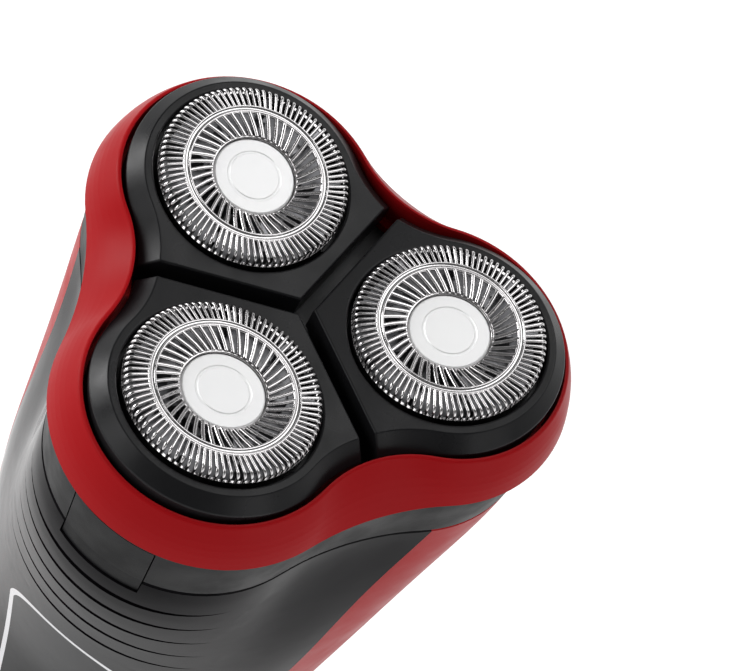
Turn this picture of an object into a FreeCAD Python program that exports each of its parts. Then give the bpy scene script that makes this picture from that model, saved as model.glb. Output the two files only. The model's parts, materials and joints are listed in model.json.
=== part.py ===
import FreeCAD, Part
import math
import os
from FreeCAD import Vector, Rotation, Placement

# Rotary electric shaver with a flip-up shaving unit of three tilting heads.
# +Z runs up the body along the head's axis, the front (power button) faces -Y, and the origin is the
# middle of the flat base on which the shaver stands. All sizes are in millimetres.

# ---- driving dimensions -------------------------------------------------------------------------
HEAD_Z = 156.0            # height of the plane of the three centre discs
HEAD_ANGLES = {"front": -90.0, "right": 30.0, "left": 150.0}
FOIL_OFFSET = 16.69       # centre of a foil from the body's axis
FOIL_LEAN = 6.0           # the foils lean towards the axis, so that the head is dished
SPINDLE_OFFSET = 17.2     # axis of a drive spindle from the body's axis

FOIL_R = 11.4             # outside radius of a foil
FOIL_TOP = 1.0            # foil track above the centre disc
FOIL_EDGE = 0.8           # rounding between a foil's face and its side
FOIL_SKIN = 0.3
FOIL_CUP_R = 5.3          # inner wall of the foil, under the rim of the centre disc's recess
FOIL_DISH = 0.1           # inner end of the foil's dished inner track above the centre disc
FOIL_FOOT = -2.9
DISC_R = 4.87
CUTTER_BLADES = 9
SEAT_GAP = 0.4            # foil to the rim of its seat in the lobe

# three-lobed outlines: lobe centre from the axis, lobe radius, distance from the axis to the waist
RING_FOOT = (15.7, 18.7, 24.9)
RING_RIM = (16.4, 15.9, 20.6)
RING_INNER = (16.4, 15.3, 20.05)
NECK_LOBE = (15.7, 17.4, 23.6)
CARRIER_LOBE = (15.7, 15.0, 21.2)
RING_TOP = HEAD_Z - 2.1   # rim of the coloured band
RING_LOW = HEAD_Z - 8.1
RING_BULGE = 0.25
RING_STEPS = 6            # steps of the band's curved flare
RING_FOOT_ROUND = 0.35
RING_RIM_ROUND = 0.55
RING_RIM_START = math.radians(30)    # slope of the flare where the rim's rounding begins
LOBE_FACE = -0.75         # lobe face below the centre disc, along the lobe's own axis
LOBE_GAP = 0.95           # half of the gap between neighbouring lobes
LOBE_ROUND = 0.3
LOBE_ROUND_ABOVE = HEAD_Z - 3.6   # lobe edges wholly above this height are rounded
TILT_AXIS_DROP = 7.0      # tilt pins below the centre disc
TILT_PIN_R = 0.8

CARRIER_LOW = RING_LOW - 2.2
CARRIER_FRONT = -29.4     # flat on the carrier, behind the release button
CARRIER_REAR = 21.5       # flat on the carrier, in front of the hinge
HINGE_Y = 24.6            # axis of the shaving unit's hinge
HINGE_Z = HEAD_Z - 10.8
HINGE_PIN_R = 1.0
HINGE_EAR_R = 1.8
HINGE_PIN_HALF = 8.6
CARRIER_EAR_HALF = 6.0    # half width of the carrier's ear
NECK_EAR_START = 6.4      # the collar's two ears, from and to this distance from the middle
NECK_EAR_END = 9.2
RUNNING = 0.05            # radial clearance of a pin in its bore

NECK_TOP = HEAD_Z - 8.6
NECK_WALL = 1.8
KEY_HALF = 5.5            # half width of the release button
KEY_TOP = HEAD_Z - 9.4
KEY_LOW = HEAD_Z - 20.2
KEY_GAP = 0.15            # round both buttons
FLOOR_TOP = HEAD_Z - 13.7
FLOOR_LOW = HEAD_Z - 15.5
PILLAR_OFFSET = 18.5
PILLAR_ANGLES = (-30.0, 90.0, 210.0)
GEAR_PLATE_TOP = HEAD_Z - 24.0
GEAR_PLATE_LOW = HEAD_Z - 25.5

GEAR_MODULE = 0.8
PINION_TEETH = 13
GEAR_TEETH = 30
GEAR_Z = HEAD_Z - 22.5
GEAR_THICK = 3.0

MOTOR_Z = HEAD_Z - 60.0   # lower end of the motor can, which hangs from the gear plate
MOTOR_R = 11.5
MOTOR_SHAFT_R = 1.0
MOTOR_SCREW_X = 7.5

SHELL_TOP = HEAD_Z - 17.4
BASE_TOP = 7.0            # joint between the base cap and the shells
WALL = 1.8                # shell thickness
SHELL_CHAMFER = 0.6
RIB_DROPS = (23.6, 28.6, 34.0, 39.6, 45.0)   # middles of the grip grooves below the centre discs
RIB_HALF = 15.0
RIB_WIDTH = 1.1
RIB_DEPTH = 0.3
TRIM_WIDTH = 0.9
PANEL_TOP = HEAD_Z - 53.6
PANEL_LOW = 30.0
PANEL_HALF_TOP = 10.5
PANEL_HALF_LOW = 7.5

BATTERY_R = 7.1
BATTERY_Y = 3.5
BATTERY_LOW = 27.0
BATTERY_TOP = 76.0
BOARD_Y = -14.0
BOARD_THICK = 1.2
BOARD_LOW = 24.0
BOARD_TOP = 112.0
POWER_Z = 69.0            # centre of the power button
POWER_R = 6.0

INLET_Y = 8.0
INLET_HALF_X = 4.2
INLET_HALF_Y = 2.9
INLET_WALL = 0.9
INLET_PIN_X = 1.9
INLET_PIN_R = 0.8
FAR = 60.0                # reach of cutting blocks that run right through

os.makedirs("parts", exist_ok=True)

AXIS_Z = Vector(0, 0, 1)
AXIS_X = Vector(1, 0, 0)


# ---- small helpers ------------------------------------------------------------------------------
def cylinder(r, z0, z1, x=0.0, y=0.0):
    return Part.makeCylinder(r, z1 - z0, Vector(x, y, z0), AXIS_Z)


def tube(r_out, r_in, z0, z1, x=0.0, y=0.0):
    return cylinder(r_out, z0, z1, x, y).cut(cylinder(r_in, z0 - 1, z1 + 1, x, y))


def box(x0, x1, y0, y1, z0, z1):
    return Part.makeBox(x1 - x0, y1 - y0, z1 - z0, Vector(x0, y0, z0))


def rod(r, start, end):
    direction = end.sub(start)
    return Part.makeCylinder(r, direction.Length, start, direction)


def prism(points, z0, z1):
    corners = [Vector(x, y, z0) for x, y in points]
    face = Part.Face(Part.makePolygon(corners + corners[:1]))
    return face.extrude(Vector(0, 0, z1 - z0))


def revolve(profile):
    """Full turn about Z of a closed outline of (radius, height) points."""
    corners = [Vector(r, 0, z) for r, z in profile]
    face = Part.Face(Part.makePolygon(corners + corners[:1]))
    return face.revolve(Vector(0, 0, 0), AXIS_Z, 360)


def moved(shape, offset=Vector(0, 0, 0), axis=AXIS_Z, degrees=0.0):
    """The shape turned about an axis through the origin, and then shifted."""
    copy = shape.copy()
    copy.Placement = Placement(offset, Rotation(axis, degrees)).multiply(copy.Placement)
    return copy


def fused(shapes):
    result = shapes[0].multiFuse(shapes[1:])
    return result.removeSplitter()


def save(name, shape):
    solids = shape.Solids
    result = solids[0] if len(solids) == 1 else Part.makeCompound(solids)
    result.exportStep("parts/" + name + ".step")


# ---- three-lobed outlines -----------------------------------------------------------------------
def hollow_radius(d, a, waist):
    """Radius of the concave arcs that join lobes of radius a, centred d from the axis, at a waist."""
    return (waist * waist + d * d - d * waist - a * a) / (2 * a - 2 * waist + d)


def trefoil_wire(d, a, waist, z):
    """Three convex arcs joined by three tangent concave arcs, at height z."""
    b = hollow_radius(d, a, waist)
    e = waist + b
    edges = []
    for angle in HEAD_ANGLES.values():
        lobe = math.radians(angle)
        before = lobe - math.pi / 3
        after = lobe + math.pi / 3
        centre = Vector(d * math.cos(lobe), d * math.sin(lobe), z)
        outer = Vector((d + a) * math.cos(lobe), (d + a) * math.sin(lobe), z)
        touches = []
        for side in (before, after):
            hollow = Vector(e * math.cos(side), e * math.sin(side), z)
            touches.append(centre.add(hollow.sub(centre).multiply(a / (a + b))))
        edges.append(Part.Arc(touches[0], outer, touches[1]).toShape())
        middle = Vector(waist * math.cos(after), waist * math.sin(after), z)
        turned = Rotation(AXIS_Z, 120).multVec(touches[0])
        edges.append(Part.Arc(touches[1], middle, turned).toShape())
    return Part.Wire(edges)


def trefoil_solid(sections):
    """Straight-sided solid through (d, a, waist, z) outlines."""
    return Part.makeLoft([trefoil_wire(*section) for section in sections], True, True)


def trefoil_radius(theta, d, a, waist):
    """Distance from the axis to a three-lobed outline in the direction theta."""
    b = hollow_radius(d, a, waist)
    e = waist + b
    lobe = min((math.radians(v) for v in HEAD_ANGLES.values()),
               key=lambda v: abs(math.remainder(theta - v, 2 * math.pi)))
    off = abs(math.remainder(theta - lobe, 2 * math.pi))
    inside = a * a - (d * math.sin(off)) ** 2
    touch = math.atan2(a * e * math.sin(math.pi / 3) / (a + b),
                       d + a * (e * math.cos(math.pi / 3) - d) / (a + b))
    if off <= touch:
        return d * math.cos(off) + math.sqrt(inside)
    rest = math.pi / 3 - off
    return e * math.cos(rest) - math.sqrt(b * b - (e * math.sin(rest)) ** 2)


# ---- body outline -------------------------------------------------------------------------------
# height, weight of the three-lobed outline, half width, front reach, rear reach, squareness
BODY_SECTIONS = [
    (SHELL_TOP, 1.00, 29.5, 33.1, 26.0, 2.0),
    (HEAD_Z - 28.6, 0.80, 28.0, 30.4, 25.8, 2.0),
    (HEAD_Z - 40.0, 0.45, 27.7, 28.0, 25.0, 2.0),
    (HEAD_Z - 56.0, 0.15, 26.7, 26.0, 23.2, 2.0),
    (HEAD_Z - 76.0, 0.0, 25.2, 23.6, 21.4, 2.05),
    (HEAD_Z - 97.0, 0.0, 24.0, 21.6, 19.8, 2.1),
    (HEAD_Z - 120.0, 0.0, 23.0, 19.8, 18.4, 2.2),
    (BASE_TOP + 10.0, 0.0, 21.8, 18.2, 17.2, 2.3),
    (BASE_TOP, 0.0, 21.0, 17.2, 16.4, 2.3),
]
# joint line between the front and rear shells, as (y, height) points of one smooth curve
SEAM_LINE = [
    (-3.0, HEAD_Z - 10.0), (-3.1, HEAD_Z - 17.4), (-5.2, HEAD_Z - 28.6), (-9.0, HEAD_Z - 41.0),
    (-12.0, HEAD_Z - 58.0), (-13.0, HEAD_Z - 78.0), (-12.0, HEAD_Z - 115.0), (-10.5, 0.0),
]
OUTLINE_POINTS = 48


def body_point(theta, section, inset):
    z, weight, half, front, rear, power = section
    reach = front if math.sin(theta) < 0 else rear
    c = abs(math.cos(theta)) / half
    s = abs(math.sin(theta)) / reach
    oval = (c ** power + s ** power) ** (-1.0 / power)
    lobed = trefoil_radius(theta, *NECK_LOBE)
    r = weight * lobed + (1 - weight) * oval - inset
    return Vector(r * math.cos(theta), r * math.sin(theta), z)


def body_wire(section, inset):
    curve = Part.BSplineCurve()
    steps = [2 * math.pi * i / OUTLINE_POINTS + math.pi / 2 for i in range(OUTLINE_POINTS)]
    curve.interpolate(Points=[body_point(t, section, inset) for t in steps], PeriodicFlag=True)
    return Part.Wire([curve.toShape()])


def body_solid(inset):
    return Part.makeLoft([body_wire(s, inset) for s in BODY_SECTIONS], True, False)


# ---- shaving unit -------------------------------------------------------------------------------
def inset(lobes, amount):
    """A three-lobed outline moved inwards by the same amount all round."""
    d, a, waist = lobes
    return (d, a - amount, waist - amount)


def make_ring():
    """Coloured band: flares outwards to its foot, with a rounded rim and an inner foot flange."""
    foot_z = RING_LOW + RING_FOOT_ROUND
    rim_z = RING_TOP - RING_RIM_ROUND * (1 - math.sin(RING_RIM_START))
    sections = [inset(RING_FOOT, RING_FOOT_ROUND) + (RING_LOW,)]
    for i in range(RING_STEPS + 1):
        t = i / RING_STEPS
        lobes = tuple(low + (high - low) * t for low, high in zip(RING_FOOT, RING_RIM))
        bulge = RING_BULGE * math.sin(math.pi * t)
        sections.append(inset(lobes, -bulge) + (foot_z + (rim_z - foot_z) * t,))
    for i in range(1, 5):
        turn = RING_RIM_START + (math.pi / 2 - RING_RIM_START) * i / 4
        inwards = RING_RIM_ROUND * (math.cos(RING_RIM_START) - math.cos(turn))
        upwards = RING_RIM_ROUND * (math.sin(turn) - math.sin(RING_RIM_START))
        sections.append(inset(RING_RIM, inwards) + (rim_z + upwards,))
    flange_top = RING_LOW + 1.1
    hollow = trefoil_solid([
        (16.3, 15.5, 20.5, flange_top),
        RING_INNER + (RING_TOP - 0.5,),
        inset(RING_INNER, -0.05) + (RING_TOP + 0.01,),
    ])
    mouth = trefoil_solid([(16.2, 14.0, 19.4, RING_LOW - 1), (16.2, 14.0, 19.4, flange_top + 0.5)])
    return trefoil_solid(sections).cut(hollow).cut(mouth)


def wedge(inset, z0, z1):
    """The front third of the head, kept back from its two side planes by inset."""
    tip = -inset / math.sin(math.radians(60))
    reach = 60.0
    x = reach * math.sin(math.radians(60))
    y = tip - reach * math.cos(math.radians(60))
    return prism([(0, tip), (x, y), (x, -80), (-x, -80), (-x, y)], z0, z1)


def leaned(shape):
    """Puts a piece drawn about a foil's own centre and axis into the front place of the head."""
    return moved(shape, Vector(0, -FOIL_OFFSET, HEAD_Z), AXIS_X, -FOIL_LEAN)


def softened(lobe):
    """Rounds the upper edges, except the short upright ones between neighbouring faces."""
    edges = []
    for edge in lobe.Edges:
        upright = isinstance(edge.Curve, Part.Line) and edge.BoundBox.ZLength > 1.5
        if edge.BoundBox.ZMin > LOBE_ROUND_ABOVE and not upright:
            edges.append(edge)
    return lobe.makeFillet(LOBE_ROUND, edges)


def make_lobe():
    """Front lobe: bevelled face round the foil, skirt, seat flange and cutter tube."""
    z = HEAD_Z
    skirt = trefoil_solid([(16.4, 14.8, 19.5, z - 6.0), (16.4, 14.8, 19.5, z + 3.0)])
    face_wire = trefoil_wire(16.6, 12.9, 17.3, LOBE_FACE)
    foot_wire = trefoil_wire(16.6, 17.3, 21.7, LOBE_FACE - 4.6)
    bevel = Part.makeLoft([foot_wire, face_wire], True, True)
    bevel.translate(Vector(0, FOIL_OFFSET, 0))
    lid = skirt.common(leaned(bevel)).common(wedge(LOBE_GAP, z - 12, z + 4))
    deep = trefoil_solid([(16.4, 13.5, 18.2, z - 7.0), (16.4, 13.5, 18.2, z - 4.4)])
    deep = deep.common(wedge(LOBE_GAP + 1.2, z - 12, z + 4))
    low_skirt = box(-40, 40, -FAR, 10, z - 6.0, z - 4.0)
    lower = skirt.common(low_skirt).common(wedge(LOBE_GAP, z - 12, z + 4))
    body = lid.fuse(lower).cut(deep)
    body = body.fuse(leaned(cylinder(10.0, -9.3, -3.6)))
    body = body.cut(leaned(cylinder(FOIL_R + SEAT_GAP, -3.4, 4.0)))
    body = body.cut(leaned(cylinder(8.8, -12.0, 4.0))).removeSplitter()
    pin_y, pin_z = tilt_axis()
    holes = rod(TILT_PIN_R + RUNNING, Vector(-14, pin_y, pin_z), Vector(14, pin_y, pin_z))
    return softened(body).cut(holes)


def tilt_axis():
    lean = math.radians(FOIL_LEAN)
    return (-FOIL_OFFSET - TILT_AXIS_DROP * math.sin(lean), HEAD_Z - TILT_AXIS_DROP * math.cos(lean))


def make_foil():
    """Shaving foil: outer track with a rounded edge, groove, dished inner track and centre cup."""
    top = FOIL_TOP
    under = top - FOIL_SKIN
    groove = 0.15
    outer_edge = []
    inner_edge = []
    for i in range(5):
        turn = math.radians(22.5 * i)
        for points, edge in ((outer_edge, FOIL_EDGE), (inner_edge, FOIL_EDGE - FOIL_SKIN)):
            points.append((FOIL_R - FOIL_EDGE + edge * math.cos(turn), top - FOIL_EDGE + edge * math.sin(turn)))
    inner_edge.reverse()
    return revolve([
        (0, -1.3), (FOIL_CUP_R, -1.3), (FOIL_CUP_R, FOIL_DISH - FOIL_SKIN), (7.9, under),
        (8.0, under - groove), (8.7, under - groove), (8.8, under),
        *inner_edge, (FOIL_R - FOIL_SKIN, FOIL_FOOT), (FOIL_R, FOIL_FOOT), *outer_edge,
        (8.8, top), (8.7, top - groove), (8.0, top - groove), (7.9, top),
        (DISC_R + 0.15, FOIL_DISH), (DISC_R + 0.05, FOIL_DISH - 0.1), (DISC_R + 0.05, -1.0), (0, -1.0),
    ])


def make_disc():
    """Centre disc with a softened edge and one shallow ring."""
    return revolve([
        (0, -1.0), (DISC_R, -1.0), (DISC_R, -0.2), (DISC_R - 0.2, 0.0), (3.3, 0.0), (3.2, -0.08),
        (3.0, -0.08), (2.9, 0.0), (0, 0.0),
    ])


def make_cutter():
    """Rotating cutter: base disc with two rings of upright blades."""
    base = tube(10.5, 3.2, -3.0, -2.3)
    blades = []
    for r0, r1, tip in ((5.8, 7.6, -0.35), (9.0, 10.5, 0.2)):
        blade = box(r0, r1, -0.35, 0.35, -2.4, tip)
        for i in range(CUTTER_BLADES):
            blades.append(moved(blade, degrees=360.0 * i / CUTTER_BLADES))
    return fused([base] + blades)


def make_cutter_hub():
    """Drive hub in the middle of a cutter, with the slot that the spindle's tip turns."""
    hub = fused([cylinder(4.4, -6.4, -3.0), cylinder(3.2, -3.0, -1.8)])
    return hub.cut(box(-3.0, 3.0, -1.3, 1.3, -7.0, -3.9))


def make_head_frame():
    """Carrier plate with three ports, tilt-pin posts, rear hinge ear and front catch."""
    plate = trefoil_solid([CARRIER_LOBE + (CARRIER_LOW,), CARRIER_LOBE + (RING_LOW,)])
    plate = plate.cut(box(-FAR, FAR, CARRIER_REAR, FAR, CARRIER_LOW - 1, RING_LOW + 1))
    plate = plate.cut(box(-KEY_HALF - 1, KEY_HALF + 1, -FAR, CARRIER_FRONT, CARRIER_LOW - 1, RING_LOW + 1))
    pin_y, pin_z = tilt_axis()
    ear = CARRIER_EAR_HALF
    pieces = [
        plate,
        box(-ear, ear, CARRIER_REAR - 0.9, HINGE_Y, HINGE_Z - HINGE_EAR_R, RING_LOW),
        rod(HINGE_EAR_R, Vector(-ear, HINGE_Y, HINGE_Z), Vector(ear, HINGE_Y, HINGE_Z)),
        box(-3.0, 3.0, CARRIER_FRONT, CARRIER_FRONT + 2.6, CARRIER_LOW - 1.6, CARRIER_LOW + 0.5),
    ]
    for angle in HEAD_ANGLES.values():
        for side in (-1, 1):
            post = box(side * 11.4 - 0.7, side * 11.4 + 0.7, pin_y - 1.7, pin_y + 1.7, CARRIER_LOW + 0.5,
                       pin_z + 1.7)
            pieces.append(moved(post, degrees=angle + 90))
    frame = fused(pieces)
    for angle in HEAD_ANGLES.values():
        port = cylinder(10.5, CARRIER_LOW - 5, HEAD_Z, 0, -FOIL_OFFSET - 0.8)
        frame = frame.cut(moved(port, degrees=angle + 90))
        bore = rod(TILT_PIN_R, Vector(-13, pin_y, pin_z), Vector(13, pin_y, pin_z))
        frame = frame.cut(moved(bore, degrees=angle + 90))
    hinge_bore = rod(HINGE_PIN_R + RUNNING, Vector(-8, HINGE_Y, HINGE_Z), Vector(8, HINGE_Y, HINGE_Z))
    return frame.cut(hinge_bore)


def make_tilt_pins():
    """Six short pins, pressed into the carrier's posts, on which the lobes tilt."""
    pin_y, pin_z = tilt_axis()
    pins = []
    for angle in HEAD_ANGLES.values():
        for side in (-1, 1):
            pin = rod(TILT_PIN_R, Vector(side * 9.2, pin_y, pin_z), Vector(side * 12.1, pin_y, pin_z))
            pins.append(moved(pin, degrees=angle + 90))
    return Part.makeCompound(pins)


def save_shaving_unit():
    save("head_ring", make_ring())
    save("head_frame", make_head_frame())
    save("tilt_pins", make_tilt_pins())
    lobe = make_lobe()
    for name, angle in HEAD_ANGLES.items():
        save("lobe_" + name, moved(lobe, degrees=angle + 90))
        save("foil_" + name, moved(leaned(make_foil()), degrees=angle + 90))
        save("hub_disc_" + name, moved(leaned(make_disc()), degrees=angle + 90))
        save("cutter_" + name, moved(leaned(make_cutter()), degrees=angle + 90))
        save("cutter_hub_" + name, moved(leaned(make_cutter_hub()), degrees=angle + 90))


# ---- neck and release button --------------------------------------------------------------------
def neck_solid(inset):
    return trefoil_solid([
        (15.7, 17.4 - inset, 23.6 - inset, SHELL_TOP),
        (15.7, 18.0 - inset, 24.2 - inset, NECK_TOP - 0.4),
        (15.7, 17.7 - inset, 23.9 - inset, NECK_TOP),
    ])


def neck_hollow():
    return trefoil_solid([
        (15.7, 17.4 - NECK_WALL, 23.6 - NECK_WALL, SHELL_TOP - 0.01),
        (15.7, 18.0 - NECK_WALL, 24.2 - NECK_WALL, NECK_TOP + 0.01),
    ])


def button_window(gap):
    half = KEY_HALF + gap
    return box(-half, half, -45, -20, KEY_LOW - gap, KEY_TOP + gap)


def make_hinge_pin():
    half = HINGE_PIN_HALF
    return rod(HINGE_PIN_R, Vector(-half, HINGE_Y, HINGE_Z), Vector(half, HINGE_Y, HINGE_Z))


def make_neck():
    """Dark collar under the shaving unit, with hinge ears at the back and the button's window."""
    collar = neck_solid(0.0).cut(neck_hollow())
    ears = []
    for side in (-1, 1):
        x0, x1 = sorted((side * NECK_EAR_START, side * NECK_EAR_END))
        ears.append(box(x0, x1, HINGE_Y - 2.0, HINGE_Y, HINGE_Z - HINGE_EAR_R, HINGE_Z + 1.4))
        ears.append(rod(HINGE_EAR_R, Vector(x0, HINGE_Y, HINGE_Z), Vector(x1, HINGE_Y, HINGE_Z)))
    collar = collar.fuse(ears)
    notch = box(-NECK_EAR_START, NECK_EAR_START, HINGE_Y - 5.6, HINGE_Y + 5.4, HINGE_Z - 2.6, NECK_TOP + 1)
    return collar.cut(notch).cut(make_hinge_pin()).cut(button_window(KEY_GAP))


def make_release_button():
    """Push button flush with the neck, with a boss that slides in the chamber floor's notch."""
    skins = []
    for inset in (0.0, NECK_WALL):
        skins.append(trefoil_solid([
            (15.7, 17.3 - inset, 23.5 - inset, KEY_LOW - 1.0),
            (15.7, 17.4 - inset, 23.6 - inset, SHELL_TOP),
            (15.7, 18.0 - inset, 24.2 - inset, NECK_TOP - 0.4),
        ]))
    cap = skins[0].cut(skins[1]).common(button_window(0.0))
    boss = box(-2.5, 2.5, -31.9, -29.2, FLOOR_LOW, FLOOR_TOP)
    return fused([cap, boss])


def make_chamber_floor():
    """Floor of the hair chamber: spindle holes, pillars for the gear plate and the button's notch."""
    plate = trefoil_solid([(15.7, 15.2, 21.4, FLOOR_LOW), (15.7, 15.4, 21.6, FLOOR_TOP)])
    pillars = []
    for angle in PILLAR_ANGLES:
        pillar = cylinder(2.6, GEAR_PLATE_TOP, FLOOR_LOW + 0.2, PILLAR_OFFSET, 0)
        pillars.append(moved(pillar, degrees=angle))
    plate = plate.fuse(pillars)
    for angle in HEAD_ANGLES.values():
        raised = tube(4.0, 2.6, FLOOR_TOP - 0.2, FLOOR_TOP + 1.0, SPINDLE_OFFSET, 0)
        plate = plate.fuse(moved(raised, degrees=angle))
        hole = cylinder(2.6, FLOOR_LOW - 1, FLOOR_TOP + 1, SPINDLE_OFFSET, 0)
        plate = plate.cut(moved(hole, degrees=angle))
    for angle in PILLAR_ANGLES:
        thread = cylinder(0.85, GEAR_PLATE_TOP - 1, GEAR_PLATE_TOP + 5, PILLAR_OFFSET, 0)
        plate = plate.cut(moved(thread, degrees=angle))
    return plate.cut(box(-6.2, 6.2, -40, -27.2, FLOOR_LOW - 1, FLOOR_TOP + 1))


def make_spindle_seals():
    """Three rubber lip rings that keep hair out of the gears."""
    rings = []
    for angle in HEAD_ANGLES.values():
        rings.append(moved(tube(2.6, 1.75, FLOOR_LOW, FLOOR_TOP, SPINDLE_OFFSET, 0), degrees=angle))
    return Part.makeCompound(rings)


# ---- drive train --------------------------------------------------------------------------------
def gear(teeth, bore, z0, z1, first_tooth):
    """Spur gear with straight-flanked teeth; the angle of the first tooth is in degrees."""
    pitch = GEAR_MODULE * teeth / 2
    root = pitch - 1.15 * GEAR_MODULE
    tip = pitch + 0.85 * GEAR_MODULE
    points = []
    for i in range(teeth):
        middle = math.radians(first_tooth) + 2 * math.pi * i / teeth
        for r, half in ((root, 0.28), (tip, 0.13), (tip, -0.13), (root, -0.28)):
            turn = middle - half * 2 * math.pi / teeth
            points.append((r * math.cos(turn), r * math.sin(turn)))
    wheel = prism(points, z0, z1)
    return wheel.cut(cylinder(bore, z0 - 1, z1 + 1))


def make_drive_gear(angle):
    """Driven gear in mesh with the pinion, with lightening holes."""
    towards_pinion = angle + 180
    # how far a pinion tooth lies behind the line of centres, as an angle of the driven gear
    lag = (angle - HEAD_ANGLES["front"]) % (360.0 / PINION_TEETH) * PINION_TEETH / GEAR_TEETH
    first_tooth = towards_pinion + lag + 180.0 / GEAR_TEETH
    wheel = gear(GEAR_TEETH, 1.6, GEAR_Z, GEAR_Z + GEAR_THICK, first_tooth)
    for i in range(5):
        hole = cylinder(2.0, GEAR_Z - 1, GEAR_Z + GEAR_THICK + 1, 6.4, 0)
        wheel = wheel.cut(moved(hole, degrees=72.0 * i))
    centre = Rotation(AXIS_Z, angle).multVec(Vector(SPINDLE_OFFSET, 0, 0))
    wheel.translate(centre)
    return wheel


def make_spindle(angle):
    """Drive spindle: shaft, collar and the flat tip that turns a cutter."""
    parts = [
        cylinder(1.2, GEAR_PLATE_LOW + 0.1, GEAR_PLATE_TOP + 0.2),
        cylinder(1.6, GEAR_PLATE_TOP + 0.15, HEAD_Z - 9.0),
        cylinder(2.3, HEAD_Z - 9.4, HEAD_Z - 7.6),
        box(-2.2, 2.2, -0.65, 0.65, HEAD_Z - 7.8, HEAD_Z - 5.1),
    ]
    spindle = moved(fused(parts), degrees=90)
    spindle.translate(Vector(SPINDLE_OFFSET, 0, 0))
    return moved(spindle, degrees=angle)


def make_gear_plate():
    """Plate under the gears that carries the spindles' lower ends and the motor."""
    plate = trefoil_solid([(15.7, 11.5, 17.6, GEAR_PLATE_LOW), (15.7, 11.5, 17.6, GEAR_PLATE_TOP)])
    for angle in PILLAR_ANGLES:
        plate = plate.fuse(moved(cylinder(3.2, GEAR_PLATE_LOW, GEAR_PLATE_TOP, PILLAR_OFFSET, 0), degrees=angle))
        hole = cylinder(1.1, GEAR_PLATE_LOW - 1, GEAR_PLATE_TOP + 1, PILLAR_OFFSET, 0)
        plate = plate.cut(moved(hole, degrees=angle))
    for angle in HEAD_ANGLES.values():
        hole = cylinder(1.2 + RUNNING, GEAR_PLATE_LOW - 1, GEAR_PLATE_TOP + 1, SPINDLE_OFFSET, 0)
        plate = plate.cut(moved(hole, degrees=angle))
    plate = plate.cut(cylinder(3.1, GEAR_PLATE_LOW - 1, GEAR_PLATE_TOP + 1))
    for x in (-1, 1):
        plate = plate.cut(cylinder(1.1, GEAR_PLATE_LOW - 1, GEAR_PLATE_TOP + 1, x * MOTOR_SCREW_X, 0))
    return plate.removeSplitter()


def pan_screw(x, y, z_seat, length, down=True):
    """Pan-head screw with a cross recess; its head sits below the seat, or above it."""
    head = cylinder(1.7, -1.1, 0.0)
    shank = cylinder(0.8, -0.1, length)
    slots = box(-1.1, 1.1, -0.2, 0.2, -1.2, -0.6).fuse(box(-0.2, 0.2, -1.1, 1.1, -1.2, -0.6))
    screw = head.fuse(shank).cut(slots)
    if not down:
        screw = moved(screw, axis=AXIS_X, degrees=180)
    screw.translate(Vector(x, y, z_seat))
    return screw


def make_gear_screws():
    screws = []
    for angle in PILLAR_ANGLES:
        screws.append(moved(pan_screw(PILLAR_OFFSET, 0, GEAR_PLATE_LOW, 4.5), degrees=angle))
    return Part.makeCompound(screws)


def make_motor_screws():
    screws = [pan_screw(x * MOTOR_SCREW_X, 0, GEAR_PLATE_TOP, 2.6, False) for x in (-1, 1)]
    return Part.makeCompound(screws)


def make_motor_can():
    """Drawn steel can with a bearing boss on top and its lower end open."""
    z1 = GEAR_PLATE_LOW
    can = fused([cylinder(MOTOR_R, MOTOR_Z, z1), cylinder(3.0, z1 - 0.5, GEAR_PLATE_TOP)])
    can = can.cut(cylinder(MOTOR_R - 1.0, MOTOR_Z - 1, z1 - 1.2))
    can = can.cut(cylinder(MOTOR_SHAFT_R + RUNNING, MOTOR_Z, GEAR_PLATE_TOP + 1))
    for x in (-1, 1):
        can = can.cut(cylinder(0.8, z1 - 3, z1 + 1, x * MOTOR_SCREW_X, 0))
    return can


def make_motor_magnets():
    """Two curved magnets inside the can."""
    ring = tube(MOTOR_R - 1.0 - RUNNING, 9.2, MOTOR_Z + 6.0, MOTOR_Z + 26.0)
    ring = ring.cut(box(-3.0, 3.0, -20, 20, MOTOR_Z, MOTOR_Z + 30))
    return Part.makeCompound(ring.Solids)


def make_motor_cap():
    """Plastic end cap with the lower bearing and two solder tags."""
    cap = fused([cylinder(MOTOR_R, MOTOR_Z - 1.5, MOTOR_Z), cylinder(3.2, MOTOR_Z - 3.0, MOTOR_Z - 1.4)])
    return cap.cut(cylinder(MOTOR_SHAFT_R + RUNNING, MOTOR_Z - 4, MOTOR_Z + 1))


def make_motor_tags():
    tags = [box(x - 0.9, x + 0.9, -0.2, 0.2, MOTOR_Z - 5.5, MOTOR_Z - 1.5) for x in (-7.0, 7.0)]
    return Part.makeCompound(tags)


def make_rotor():
    """Motor shaft with its three-pole armature and commutator."""
    shaft = cylinder(MOTOR_SHAFT_R, MOTOR_Z - 2.8, GEAR_Z + GEAR_THICK + 0.8)
    core = cylinder(8.8, MOTOR_Z + 8.0, MOTOR_Z + 24.0)
    for i in range(3):
        slot = box(3.2, 10.0, -0.8, 0.8, MOTOR_Z + 7.0, MOTOR_Z + 25.0)
        core = core.cut(moved(slot, degrees=120.0 * i + 60))
    return fused([shaft, core, cylinder(2.6, MOTOR_Z + 2.0, MOTOR_Z + 8.2)])


def make_pinion():
    return gear(PINION_TEETH, MOTOR_SHAFT_R, GEAR_Z, GEAR_Z + GEAR_THICK, HEAD_ANGLES["front"])


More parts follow.
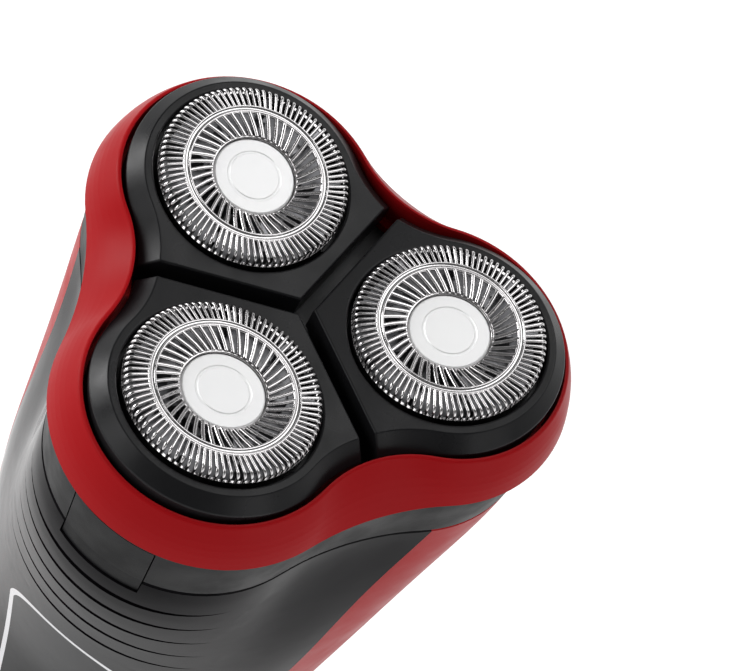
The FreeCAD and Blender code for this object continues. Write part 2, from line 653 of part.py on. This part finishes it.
# ---- power pack ---------------------------------------------------------------------------------
def make_chassis():
    """Inner frame: back plate, shelves for the battery, motor clamp and board posts."""
    back_y = BATTERY_Y + BATTERY_R + 0.4
    board_back = BOARD_Y + BOARD_THICK
    pieces = [
        box(-8.0, 8.0, back_y, back_y + 1.4, BATTERY_LOW - 3.0, GEAR_PLATE_LOW),
        box(-8.0, 8.0, BOARD_Y + 3.0, back_y + 1.0, BATTERY_LOW - 3.0, BATTERY_LOW - 1.2),
        box(-8.0, 8.0, BOARD_Y + 3.0, back_y + 1.0, BATTERY_TOP + 1.2, BATTERY_TOP + 3.0),
        tube(MOTOR_R + 1.6, MOTOR_R, MOTOR_Z + 10.0, MOTOR_Z + 14.0),
    ]
    for z in (BATTERY_LOW - 3.0, BATTERY_TOP + 1.2):
        for x in (-6.5, 6.5):
            pieces.append(box(x - 1.2, x + 1.2, board_back, BOARD_Y + 4.0, z, z + 1.8))
    motor_bay = cylinder(MOTOR_R + RUNNING, MOTOR_Z - 2.0, GEAR_PLATE_LOW + 1)
    board_bay = box(-FAR, FAR, -FAR, board_back + 0.2, MOTOR_Z, GEAR_PLATE_LOW)
    return fused(pieces).cut(motor_bay).cut(board_bay)


def make_battery():
    can = cylinder(BATTERY_R, BATTERY_LOW, BATTERY_TOP - 1.0, 0, BATTERY_Y)
    nub = cylinder(2.6, BATTERY_TOP - 1.2, BATTERY_TOP, 0, BATTERY_Y)
    return fused([can, nub])


def make_battery_tabs():
    """Nickel strips at both ends of the cell."""
    low = box(-2.0, 2.0, BATTERY_Y - 5.0, BATTERY_Y + 5.0, BATTERY_LOW - 0.3, BATTERY_LOW)
    top = box(-2.0, 2.0, BATTERY_Y - 5.0, BATTERY_Y + 5.0, BATTERY_TOP, BATTERY_TOP + 0.3)
    return Part.makeCompound([low, top])


def make_board():
    return box(-8.5, 8.5, BOARD_Y, BOARD_Y + BOARD_THICK, BOARD_LOW, BOARD_TOP)


def board_part(x, z, width, height, depth):
    return box(x - width / 2, x + width / 2, BOARD_Y - depth, BOARD_Y, z - height / 2, z + height / 2)


def make_board_parts():
    """Controller, charger and coil on the board's front, with a column of small parts between them."""
    chips = [
        board_part(-3.5, 98.0, 6.0, 6.0, 1.2),
        board_part(4.0, 62.0, 5.0, 6.5, 1.6),
        board_part(-4.5, 62.0, 3.0, 5.0, 1.8),
    ]
    chips += [board_part(4.5, 48.0 + 4.0 * i, 3.0, 1.8, 0.8) for i in range(3)]
    return Part.makeCompound(chips)


def make_switch():
    """Push switch under the power button."""
    case = box(-3.0, 3.0, BOARD_Y - 3.2, BOARD_Y, POWER_Z - 3.0, POWER_Z + 3.0)
    plunger = rod(1.6, Vector(0, BOARD_Y - 3.2, POWER_Z), Vector(0, BOARD_Y - 4.2, POWER_Z))
    return fused([case, plunger])


# ---- shells and front ---------------------------------------------------------------------------
def panel_prism(grow):
    """Tall window outline with an arched top and a round foot, run through the front of the body."""
    top = PANEL_TOP + grow
    low = PANEL_LOW - grow
    wide = PANEL_HALF_TOP + grow
    narrow = PANEL_HALF_LOW + grow
    shoulder = PANEL_TOP - 9.0
    foot = PANEL_LOW + 7.0
    y = -60.0
    left_top = Vector(-wide, y, shoulder)
    right_top = Vector(wide, y, shoulder)
    left_low = Vector(-narrow, y, foot)
    right_low = Vector(narrow, y, foot)
    edges = [
        Part.Arc(left_top, Vector(0, y, top), right_top).toShape(),
        Part.LineSegment(right_top, right_low).toShape(),
        Part.Arc(right_low, Vector(0, y, low), left_low).toShape(),
        Part.LineSegment(left_low, left_top).toShape(),
    ]
    return Part.Face(Part.Wire(edges)).extrude(Vector(0, 58.0, 0))


def front_region():
    """Everything in front of the joint line."""
    curve = Part.BSplineCurve()
    curve.interpolate([Vector(-45, y, z) for y, z in SEAM_LINE])
    start, end = SEAM_LINE[0], SEAM_LINE[-1]
    corners = [Vector(-45, end[0], end[1]), Vector(-45, -50, end[1]), Vector(-45, -50, start[1]),
               Vector(-45, start[0], start[1])]
    face = Part.Face(Part.Wire([curve.toShape()] + Part.makePolygon(corners).Edges))
    return face.extrude(Vector(90, 0, 0))


def top_chamfer():
    """Waste to cut from the shells' top edge."""
    top = BODY_SECTIONS[0]
    low = (SHELL_TOP - SHELL_CHAMFER,) + top[1:]
    keep = Part.makeLoft([body_wire(low, 0.0), body_wire(top, 0.45)], True, True)
    return box(-45, 45, -45, 45, low[0], SHELL_TOP + 1).cut(keep)


def rib_prism(z):
    """Slim lens outline, pointed at both ends, run through the front of the body."""
    left = Vector(-RIB_HALF, -FAR, z)
    right = Vector(RIB_HALF, -FAR, z)
    upper = Part.Arc(left, Vector(0, -FAR, z + RIB_WIDTH / 2), right).toShape()
    lower = Part.Arc(right, Vector(0, -FAR, z - RIB_WIDTH / 2), left).toShape()
    return Part.Face(Part.Wire([upper, lower])).extrude(Vector(0, FAR - 12.0, 0))


def make_shells():
    """Front and rear halves of the body shell."""
    outside = body_solid(0.0).cut(top_chamfer())
    shell = outside.cut(body_solid(WALL))
    front_half = front_region()
    front = shell.common(front_half)
    rear = shell.cut(front_half)
    skin = outside.cut(body_solid(RIB_DEPTH))
    for drop in RIB_DROPS:
        front = front.cut(skin.common(rib_prism(HEAD_Z - drop)))
    front = front.cut(button_window(KEY_GAP)).cut(panel_prism(TRIM_WIDTH))
    return front, rear


def make_panel_parts():
    """Glossy window with the button's hole, and the bright trim round it."""
    shell = body_solid(0.0).cut(body_solid(WALL))
    window = shell.common(panel_prism(0.0))
    hole = rod(POWER_R + KEY_GAP, Vector(0, -40, POWER_Z), Vector(0, -10, POWER_Z))
    trim = shell.common(panel_prism(TRIM_WIDTH)).cut(panel_prism(0.0))
    return window.cut(hole), trim


def make_power_button():
    """Round button, slightly proud, with a stem over the switch."""
    face = body_solid(-0.5).cut(body_solid(WALL - 0.2))
    cap = face.common(rod(POWER_R, Vector(0, -40, POWER_Z), Vector(0, -12, POWER_Z)))
    stem = rod(1.5, Vector(0, BOARD_Y - 5.2, POWER_Z), Vector(0, -22.8, POWER_Z))
    return fused([cap, stem])


# ---- base ---------------------------------------------------------------------------------------
def make_base_cap():
    """Closed end with a flat underside, a rounded foot and the socket's opening."""
    half, front, rear, power = BODY_SECTIONS[-1][2:]

    def outline(z, shrink):
        return (z, 0.0, half - shrink, front - shrink, rear - shrink, power)

    foot = [(0.0, 2.6), (0.8, 1.6), (2.4, 0.7), (4.5, 0.2), (BASE_TOP, 0.0)]
    cap = Part.makeLoft([body_wire(outline(z, shrink), 0.0) for z, shrink in foot], True, False)
    inner = [outline(2.0, 1.6), outline(BASE_TOP + 0.1, 0.0)]
    hollow = Part.makeLoft([body_wire(section, WALL) for section in inner], True, False)
    return cap.cut(hollow).cut(inlet_block(INLET_WALL, -1.0, 12.0))


def inlet_block(grow, z0, z1):
    return box(-INLET_HALF_X - grow, INLET_HALF_X + grow, INLET_Y - INLET_HALF_Y - grow,
               INLET_Y + INLET_HALF_Y + grow, z0, z1)


def make_inlet_pins():
    pins = [cylinder(INLET_PIN_R, 2.2, 12.5, side * INLET_PIN_X, INLET_Y) for side in (-1, 1)]
    return Part.makeCompound(pins)


def make_inlet():
    """Socket for the charging plug, set into the base, with its pins pressed through the roof."""
    return inlet_block(INLET_WALL, 0.4, 10.5).cut(inlet_block(0.0, -1.0, 9.0)).cut(make_inlet_pins())


def save_body():
    save("neck_collar", make_neck())
    save("hinge_pin", make_hinge_pin())
    save("release_button", make_release_button())
    save("chamber_floor", make_chamber_floor())
    save("spindle_seals", make_spindle_seals())
    save("gear_plate", make_gear_plate())
    save("gear_screws", make_gear_screws())
    save("motor_screws", make_motor_screws())
    save("motor_can", make_motor_can())
    save("motor_magnets", make_motor_magnets())
    save("motor_cap", make_motor_cap())
    save("motor_tags", make_motor_tags())
    save("rotor", make_rotor())
    save("pinion", make_pinion())
    for name, angle in HEAD_ANGLES.items():
        save("spindle_" + name, make_spindle(angle))
        save("gear_" + name, make_drive_gear(angle))
    save("chassis", make_chassis())
    save("battery_cell", make_battery())
    save("battery_tabs", make_battery_tabs())
    save("circuit_board", make_board())
    save("board_parts", make_board_parts())
    save("power_switch", make_switch())
    front, rear = make_shells()
    save("front_shell", front)
    save("rear_shell", rear)
    window, trim = make_panel_parts()
    save("front_panel", window)
    save("panel_trim", trim)
    save("power_button", make_power_button())
    save("base_cap", make_base_cap())
    save("inlet_shell", make_inlet())
    save("inlet_pins", make_inlet_pins())


save_shaving_unit()
save_body()
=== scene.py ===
import json
import math

import bpy
from mathutils import Matrix, Vector


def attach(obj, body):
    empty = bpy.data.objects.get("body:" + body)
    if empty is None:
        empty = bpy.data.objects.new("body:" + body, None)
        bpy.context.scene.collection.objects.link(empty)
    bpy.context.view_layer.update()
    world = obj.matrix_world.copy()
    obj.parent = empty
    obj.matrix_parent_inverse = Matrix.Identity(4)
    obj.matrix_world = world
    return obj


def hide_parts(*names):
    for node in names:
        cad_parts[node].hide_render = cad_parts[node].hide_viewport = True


# Looks of a three-headed rotary shaver, built around its CAD frame.
# Lengths are in metres unless a name ends in _MM or _mm; MM turns millimetres into metres.

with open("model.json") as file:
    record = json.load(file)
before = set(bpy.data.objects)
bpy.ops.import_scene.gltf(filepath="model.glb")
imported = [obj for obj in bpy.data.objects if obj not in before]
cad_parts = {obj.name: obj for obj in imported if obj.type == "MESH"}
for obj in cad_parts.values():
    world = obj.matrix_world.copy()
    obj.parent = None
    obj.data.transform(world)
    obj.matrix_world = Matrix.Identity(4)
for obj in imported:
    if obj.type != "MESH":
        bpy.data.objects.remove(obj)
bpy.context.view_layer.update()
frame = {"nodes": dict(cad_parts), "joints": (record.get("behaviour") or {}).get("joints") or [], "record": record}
record = frame["record"]
nodes = frame["nodes"]

MM = 0.001
HEAD_ANGLES = {"front": -90.0, "right": 30.0, "left": 150.0}      # degrees round the axis, from +X

# middle of the front foil's centre disc
front_joint = next(j for j in frame["joints"] if j["name"] == "cutter_spin_front")
FRONT_DISC = Vector(front_joint["pos_m"])


# ---- materials ----------------------------------------------------------------------------------
NOISE_LOW = 0.35          # a noise value at or below this counts as 0
NOISE_HIGH = 0.65         # and one at or above this as 1


class Shader:
    """A Principled material with helpers for its noise, bump and roughness nodes."""

    def __init__(self, name, color, roughness, metallic=0.0, **sockets):
        self.material = bpy.data.materials.new(name)
        self.material.use_nodes = True
        self.tree = self.material.node_tree
        self.bsdf = self.tree.nodes["Principled BSDF"]
        self.bsdf.inputs["Base Color"].default_value = (*color, 1.0)
        self.bsdf.inputs["Roughness"].default_value = roughness
        self.bsdf.inputs["Metallic"].default_value = metallic
        for key, value in sockets.items():
            self.bsdf.inputs[key.replace("_", " ")].default_value = value
        self.coords = self.tree.nodes.new("ShaderNodeTexCoord")

    def link(self, a, b):
        self.tree.links.new(a, b)

    def noise(self, scale, detail, stretch=(1, 1, 1)):
        """Noise in the object's own metres: scale is in cells per metre."""
        mapping = self.tree.nodes.new("ShaderNodeMapping")
        mapping.inputs["Scale"].default_value = stretch
        self.link(self.coords.outputs["Object"], mapping.inputs["Vector"])
        node = self.tree.nodes.new("ShaderNodeTexNoise")
        node.inputs["Scale"].default_value = scale
        node.inputs["Detail"].default_value = detail
        self.link(mapping.outputs["Vector"], node.inputs["Vector"])
        return node.outputs["Fac"]

    def vary_roughness(self, source, low, high):
        """Lets the roughness follow a noise, between two values."""
        node = self.tree.nodes.new("ShaderNodeMapRange")
        node.inputs["From Min"].default_value = NOISE_LOW
        node.inputs["From Max"].default_value = NOISE_HIGH
        node.inputs["To Min"].default_value = low
        node.inputs["To Max"].default_value = high
        self.link(source, node.inputs["Value"])
        self.link(node.outputs["Result"], self.bsdf.inputs["Roughness"])

    def vary_color(self, source, dark, light):
        """Lets the colour follow a noise, between two multiples of the base colour."""
        color = self.bsdf.inputs["Base Color"].default_value[:3]
        ramp = self.tree.nodes.new("ShaderNodeValToRGB")
        stops = ramp.color_ramp.elements
        for stop, position, factor in ((stops[0], NOISE_LOW, dark), (stops[1], NOISE_HIGH, light)):
            stop.position = position
            stop.color = (*(min(1.0, c * factor) for c in color), 1.0)
        self.link(source, ramp.inputs["Fac"])
        self.link(ramp.outputs["Color"], self.bsdf.inputs["Base Color"])

    def bump(self, source, height, strength=1.0):
        """Raises the surface by a noise; height is in metres."""
        node = self.tree.nodes.new("ShaderNodeBump")
        node.inputs["Distance"].default_value = height
        node.inputs["Strength"].default_value = strength
        self.link(source, node.inputs["Height"])
        self.link(node.outputs["Normal"], self.bsdf.inputs["Normal"])


def moulded(name, color, rough, grain_mm=0.25, grain_depth_mm=0.006, wear=0.06, **sockets):
    """Moulded plastic: fine grain, slight tone drift and uneven sheen."""
    s = Shader(name, color, rough, **sockets)
    s.vary_color(s.noise(scale=60.0, detail=4.0), dark=0.975, light=1.025)
    s.vary_roughness(s.noise(scale=220.0, detail=5.0), low=max(0.02, rough - wear), high=rough + wear)
    s.bump(s.noise(scale=1.0 / (grain_mm * MM), detail=2.0), height=grain_depth_mm * MM)
    return s.material


def metal(name, color, rough, stretch=(1, 1, 1), scale=900.0, depth_mm=0.002):
    """Metal with fine directional scratches."""
    s = Shader(name, color, rough, metallic=1.0)
    s.vary_roughness(s.noise(scale, 5.0, stretch), low=max(0.03, rough - 0.07), high=rough + 0.1)
    s.vary_color(s.noise(scale=90.0, detail=3.0), dark=0.94, light=1.03)
    s.bump(s.noise(scale, 3.0, stretch), height=depth_mm * MM)
    return s.material


def satin_disc(name, color, rough):
    """Pale blasted metal with a very fine even grain."""
    s = Shader(name, color, rough, metallic=0.3)
    s.vary_color(s.noise(scale=70.0, detail=2.0), dark=0.985, light=1.01)
    s.vary_roughness(s.noise(scale=3000.0, detail=2.0), low=rough - 0.04, high=rough + 0.04)
    s.bump(s.noise(scale=9000.0, detail=2.0), height=0.001 * MM, strength=0.5)
    return s.material


def gloss(name, color, rough, **sockets):
    """Polished plastic with hairline polish marks and faint ripples of the moulding."""
    s = Shader(name, color, rough, **sockets)
    s.vary_color(s.noise(scale=45.0, detail=3.0), dark=0.9, light=1.1)
    s.vary_roughness(s.noise(1500.0, 6.0, (1, 1, 0.1)), low=max(0.01, rough - 0.02), high=rough + 0.05)
    s.bump(s.noise(scale=70.0, detail=2.0), height=0.004 * MM, strength=0.5)
    return s.material


# kind of surface, colour, roughness and what else differs, for each material slot
MATERIALS = {
    "red_satin": (moulded, (0.36, 0.0065, 0.009), 0.34,
                  dict(grain_mm=0.2, grain_depth_mm=0.002, wear=0.04, IOR=1.3, Specular_IOR_Level=0.12)),
    "black_gloss": (gloss, (0.006, 0.0055, 0.0065), 0.08, dict(IOR=1.17, Specular_IOR_Level=0.15)),
    "window_gloss": (gloss, (0.004, 0.004, 0.005), 0.05, dict(IOR=1.17, Specular_IOR_Level=0.15)),
    "lobe_black": (moulded, (0.009, 0.009, 0.010), 0.32,
                   dict(grain_mm=0.16, grain_depth_mm=0.010, IOR=1.4, Specular_IOR_Level=0.3)),
    "neck_black": (moulded, (0.008, 0.008, 0.0085), 0.4,
                   dict(grain_mm=0.18, grain_depth_mm=0.010, IOR=1.25, Specular_IOR_Level=0.15)),
    "foil_steel": (metal, (0.68, 0.665, 0.67), 0.16, dict(scale=2500.0)),
    "disc_steel": (satin_disc, (0.99, 0.99, 0.995), 0.42, {}),
    "cutter_steel": (metal, (0.22, 0.22, 0.23), 0.34, {}),
    "hub_plastic": (moulded, (0.62, 0.62, 0.6), 0.45, {}),
    "pin_steel": (metal, (0.6, 0.6, 0.62), 0.25, dict(stretch=(0.1, 1, 1))),
    "screw_steel": (metal, (0.45, 0.45, 0.47), 0.3, {}),
    "spindle_plastic": (moulded, (0.7, 0.7, 0.68), 0.42, {}),
    "gear_plastic": (moulded, (0.72, 0.70, 0.6), 0.42, {}),
    "pinion_brass": (metal, (0.72, 0.52, 0.2), 0.28, {}),
    "frame_plastic": (moulded, (0.03, 0.031, 0.034), 0.5, {}),
    "seal_rubber": (moulded, (0.012, 0.012, 0.012), 0.7, {}),
    "motor_steel": (metal, (0.55, 0.56, 0.58), 0.3, dict(stretch=(1, 1, 0.1))),
    "magnet": (moulded, (0.05, 0.05, 0.052), 0.6, {}),
    "rotor_steel": (metal, (0.4, 0.38, 0.36), 0.4, dict(stretch=(0.1, 0.1, 1))),
    "tag_brass": (metal, (0.75, 0.6, 0.3), 0.3, {}),
    "cell_wrap": (gloss, (0.03, 0.1, 0.3), 0.2, {}),
    "cell_tab": (metal, (0.62, 0.61, 0.58), 0.3, {}),
    "board_green": (moulded, (0.01, 0.11, 0.045), 0.35, {}),
    "chip_black": (moulded, (0.02, 0.02, 0.02), 0.5, {}),
    "trim_chrome": (metal, (0.62, 0.62, 0.64), 0.12, dict(depth_mm=0.0006)),
    "button_chrome": (metal, (0.48, 0.49, 0.51), 0.24, {}),
    "inlet_black": (moulded, (0.012, 0.012, 0.012), 0.5, {}),
}


# ---- CAD nodes ----------------------------------------------------------------------------------
NODE_SHARP_DEG = 28.0     # edges of a CAD node that turn more than this stay crisp


def smooth(mesh, sharp_deg):
    """Shades a mesh smooth, apart from the edges sharper than an angle."""
    mesh.polygons.foreach_set("use_smooth", [True] * len(mesh.polygons))
    mesh.set_sharp_from_angle(angle=math.radians(sharp_deg))


def dress_nodes():
    """Gives every CAD node the material of its slot, and returns the materials by slot."""
    made = {}
    for entry in record["subparts"]:
        name = entry["material_slot"]
        if name not in made:
            kind, color, rough, extras = MATERIALS[name]
            made[name] = kind(name, color, rough, **extras)
        mesh = nodes[entry["node"]].data
        mesh.materials.clear()
        mesh.materials.append(made[name])
        mesh.polygons.foreach_set("material_index", [0] * len(mesh.polygons))
        smooth(mesh, NODE_SHARP_DEG)
    return made


# ---- shaving foils ------------------------------------------------------------------------------
# A foil's own axes: the centre disc lies in the z = 0 plane and +z points out of the head.
FOIL_LEAN_DEG = 6.0       # each foil leans outward by this
FOIL_R_MM = 11.4
FOIL_TOP_MM = 1.0
FOIL_EDGE_MM = 0.8        # rounding between the face and the side wall
SKIN_MM = 0.28
WALL_MM = 0.3
WALL_LOW_MM = -2.9
RING_STEPS = 180
BAR_SHARP_DEG = 50.0

OUTER_SLOTS = 88
OUTER_LEAN_DEG = 10.0
OUTER_BAR_HALF_MM = 0.19
OUTER_FACE_MM = (8.7, 9.7)          # radii of the flat stretch of the outer track
OUTER_EDGE_STEPS = 5
SLOT_END_MM = -0.5                  # outer slots end here, a little way down the side wall
SLOT_OVERLAP_MM = 0.1               # the bars run this far into the solid wall

INNER_SLOTS = 44
INNER_LEAN_DEG = 21.0
INNER_BAR_HALF_MM = 0.25
INNER_START_MM = (5.12, 0.4)        # radius and height of the dished track beside the disc
INNER_END_MM = (7.92, FOIL_TOP_MM - 0.02)
INNER_STEPS = 3

# crowned section of a bar, as (share of the half width, height from the face in millimetres)
BAR_SECTION = [(-1, -SKIN_MM), (-1, -0.17), (-0.84, -0.07), (-0.48, -0.016), (0, 0.0),
               (0.48, -0.016), (0.84, -0.07), (1, -0.17), (1, -SKIN_MM)]

# solid ring between the tracks, as (radius, depth below the top): a groove between two lips
GROOVE_SECTION_MM = [(7.82, SKIN_MM), (8.84, SKIN_MM), (8.84, 0.12), (8.76, 0.03), (8.66, 0.0),
                     (8.57, 0.05), (8.48, 0.14), (8.2, 0.14), (8.11, 0.05), (8.02, 0.0),
                     (7.92, 0.03), (7.82, 0.12)]

# solid collar round the centre disc, as (radius, height), with its two upper corners cut off
COLLAR_SECTION_MM = [(4.94, -1.3), (5.3, -1.3), (5.3, 0.02), (5.2, 0.1), (5.06, 0.1), (4.94, 0.02)]

# solid foot of the side wall, as (radius, height)
WALL_SECTION_MM = [(FOIL_R_MM - WALL_MM, WALL_LOW_MM), (FOIL_R_MM, WALL_LOW_MM),
                   (FOIL_R_MM, SLOT_END_MM), (FOIL_R_MM - WALL_MM, SLOT_END_MM)]


def head_matrix(angle):
    """From a foil's own axes in millimetres to the frame in metres."""
    place = Matrix.Translation(FRONT_DISC) @ Matrix.Rotation(-math.radians(FOIL_LEAN_DEG), 4, "X")
    turn = Matrix.Rotation(math.radians(angle - HEAD_ANGLES["front"]), 4, "Z")
    return turn @ place @ Matrix.Scale(MM, 4)


class Shell:
    """Collects closed bodies that make one piece."""

    def __init__(self):
        self.verts = []
        self.faces = []

    def add_grid(self, rings, close_rows, caps=False):
        """Quads between rows of points; each row is a closed ring, and the last may join the first."""
        base = len(self.verts)
        rows, cols = len(rings), len(rings[0])
        for ring in rings:
            self.verts.extend(ring)
        for i in range(rows if close_rows else rows - 1):
            here = base + i * cols
            beyond = base + ((i + 1) % rows) * cols
            for j in range(cols):
                k = (j + 1) % cols
                self.faces.append((here + j, here + k, beyond + k, beyond + j))
        if caps:
            self.faces.append(tuple(base + j for j in reversed(range(cols))))
            self.faces.append(tuple(base + (rows - 1) * cols + j for j in range(cols)))


def polar(r, z, theta):
    return (r * math.cos(theta), r * math.sin(theta), z)


def ring_solid(shell, section):
    """A closed section of (radius, height) turned about the axis."""
    rings = []
    for i in range(RING_STEPS):
        theta = 2 * math.pi * i / RING_STEPS
        rings.append([polar(r, z, theta) for r, z in section])
    shell.add_grid(rings, close_rows=True)


def bar(shell, path, theta, half_mm, lean_deg):
    """One bar between two slots, along (radius, height, normal r, normal z), leaning as it goes out."""
    slope = math.tan(math.radians(lean_deg))
    r_start = path[0][0]
    rings = []
    for r, z, nr, nz in path:
        turn = theta + slope * (r - r_start) / ((r + r_start) / 2)
        ring = []
        for share, rise in BAR_SECTION:
            rr = r + nr * rise
            ring.append(polar(rr, z + nz * rise, turn + share * half_mm / rr))
        rings.append(ring)
    shell.add_grid(rings, close_rows=False, caps=True)


def bars(shell, path, count, half_mm, lean_deg):
    """Equal bars all round a track."""
    for i in range(count):
        bar(shell, path, 2 * math.pi * i / count, half_mm, lean_deg)


def outer_path():
    """Face, rounded edge and side wall of the foil's outer track."""
    middle_r = FOIL_R_MM - FOIL_EDGE_MM
    middle_z = FOIL_TOP_MM - FOIL_EDGE_MM
    path = [(r, FOIL_TOP_MM, 0, 1) for r in OUTER_FACE_MM]
    for k in range(OUTER_EDGE_STEPS + 1):
        a = math.radians(90 * k / OUTER_EDGE_STEPS)
        path.append((middle_r + FOIL_EDGE_MM * math.sin(a), middle_z + FOIL_EDGE_MM * math.cos(a),
                     math.sin(a), math.cos(a)))
    path.append((FOIL_R_MM, SLOT_END_MM - SLOT_OVERLAP_MM, 1, 0))
    return path


def inner_path():
    """Dished face of the foil's inner track, from the centre disc up to the groove."""
    (r0, z0), (r1, z1) = INNER_START_MM, INNER_END_MM
    tilt = math.atan2(z1 - z0, r1 - r0)
    path = []
    for k in range(INNER_STEPS + 1):
        t = k / INNER_STEPS
        path.append((r0 + (r1 - r0) * t, z0 + (z1 - z0) * t, -math.sin(tilt), math.cos(tilt)))
    return path


def make_foil(head, angle, material):
    """A slotted foil with real slots, in place of the CAD foil of one head."""
    shell = Shell()
    bars(shell, outer_path(), OUTER_SLOTS, OUTER_BAR_HALF_MM, OUTER_LEAN_DEG)
    bars(shell, inner_path(), INNER_SLOTS, INNER_BAR_HALF_MM, INNER_LEAN_DEG)
    ring_solid(shell, [(r, FOIL_TOP_MM - depth) for r, depth in GROOVE_SECTION_MM])
    ring_solid(shell, COLLAR_SECTION_MM)
    ring_solid(shell, WALL_SECTION_MM)

    place = head_matrix(angle)
    name = "foil_track_" + head
    mesh = bpy.data.meshes.new(name)
    mesh.from_pydata([place @ Vector(v) for v in shell.verts], [], shell.faces)
    mesh.validate()
    mesh.update()
    mesh.materials.append(material)
    smooth(mesh, BAR_SHARP_DEG)

    piece = bpy.data.objects.new(name, mesh)
    bpy.context.scene.collection.objects.link(piece)
    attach(piece, "lobe_" + head)
    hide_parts("foil_" + head)


# ---- stage --------------------------------------------------------------------------------------
FLOOR_HALF = 30.0
FLOOR_GREY = 0.35
FLOOR_ROUGH = 0.9
FLOOR_GLOW = 0.86         # own light of the floor, which keeps it nearly white behind the shaver

SKY_STRENGTH = 1.0
SKY_LOW = (0.0, 0.95)     # height on the sky, from 0 at the horizon to 1 overhead, and its grey there
SKY_HIGH = (0.45, 0.12)

LIGHT_AIM = (0, 0, 0.14)
LIGHTS = {                # size, power in watts and place
    "key": ((0.35, 0.35), 1.3, (-0.45, -0.45, 0.6)),
    "fill": ((0.3, 0.5), 0.5, (0.6, -0.15, 0.3)),
    "left": ((0.2, 0.45), 2.4, (-0.62, -0.05, 0.3)),
    "top": ((0.5, 0.5), 1.7, (0.1, 0.35, 0.7)),
}

# The camera stands close to the head, looks down at it from the front right and is rolled. Places
# are measured from the point on the head's axis that is level with the centre discs.
CAMERA_PLACE_MM = Vector((30.342, -146.024, 217.563))
CAMERA_AIM_MM = Vector((8.3737, 1.4195, 0))
CAMERA_ROLL_DEG = 31.584
CAMERA_LENS_MM = 111.74
CAMERA_SENSOR_MM = 36.0
CAMERA_NEAR = 0.01


def make_floor():
    half = FLOOR_HALF
    verts = [(-half, -half, 0), (half, -half, 0), (half, half, 0), (-half, half, 0)]
    mesh = bpy.data.meshes.new("floor")
    mesh.from_pydata(verts, [], [(0, 1, 2, 3)])
    floor = bpy.data.objects.new("floor", mesh)
    s = Shader("floor_paper", (FLOOR_GREY,) * 3, FLOOR_ROUGH, Emission_Strength=FLOOR_GLOW,
               Emission_Color=(1, 1, 1, 1))
    s.bump(s.noise(scale=400.0, detail=4.0), height=0.02 * MM)
    mesh.materials.append(s.material)
    bpy.context.scene.collection.objects.link(floor)


def make_world():
    """Soft studio surroundings: pale at the horizon, dim overhead."""
    world = bpy.data.worlds.new("studio")
    bpy.context.scene.world = world
    world.use_nodes = True
    tree = world.node_tree
    background = tree.nodes["Background"]
    background.inputs["Strength"].default_value = SKY_STRENGTH
    coords = tree.nodes.new("ShaderNodeTexCoord")
    split = tree.nodes.new("ShaderNodeSeparateXYZ")
    ramp = tree.nodes.new("ShaderNodeValToRGB")
    for stop, (height, grey) in zip(ramp.color_ramp.elements, (SKY_LOW, SKY_HIGH)):
        stop.position = height
        stop.color = (grey, grey, grey, 1.0)
    tree.links.new(coords.outputs["Generated"], split.inputs["Vector"])
    tree.links.new(split.outputs["Z"], ramp.inputs["Fac"])
    tree.links.new(ramp.outputs["Color"], background.inputs["Color"])


def make_light(name, size, power, place):
    """A soft rectangular light that faces the shaver."""
    data = bpy.data.lights.new(name, "AREA")
    data.shape = "RECTANGLE"
    data.size, data.size_y = size
    data.energy = power
    light = bpy.data.objects.new(name, data)
    light.location = place
    toward = Vector(LIGHT_AIM) - Vector(place)
    light.rotation_euler = toward.to_track_quat("-Z", "Y").to_euler()
    bpy.context.scene.collection.objects.link(light)


def make_camera():
    data = bpy.data.cameras.new("camera")
    data.sensor_fit = "HORIZONTAL"
    data.sensor_width = CAMERA_SENSOR_MM
    data.lens = CAMERA_LENS_MM
    data.clip_start = CAMERA_NEAR
    camera = bpy.data.objects.new("camera", data)
    level = (CAMERA_AIM_MM - CAMERA_PLACE_MM).to_track_quat("-Z", "Y").to_matrix().to_4x4()
    roll = Matrix.Rotation(math.radians(CAMERA_ROLL_DEG), 4, "Z")
    place = CAMERA_PLACE_MM * MM + Vector((0, 0, FRONT_DISC.z))
    camera.matrix_world = Matrix.Translation(place) @ level @ roll
    bpy.context.scene.collection.objects.link(camera)
    bpy.context.scene.camera = camera


# ---- the scene ----------------------------------------------------------------------------------
made = dress_nodes()
for head, head_angle in HEAD_ANGLES.items():
    make_foil(head, head_angle, made["foil_steel"])
make_floor()
make_world()
for light_name, (light_size, light_power, light_place) in LIGHTS.items():
    make_light(light_name, light_size, light_power, light_place)
make_camera()
bpy.context.scene.view_settings.view_transform = "Standard"
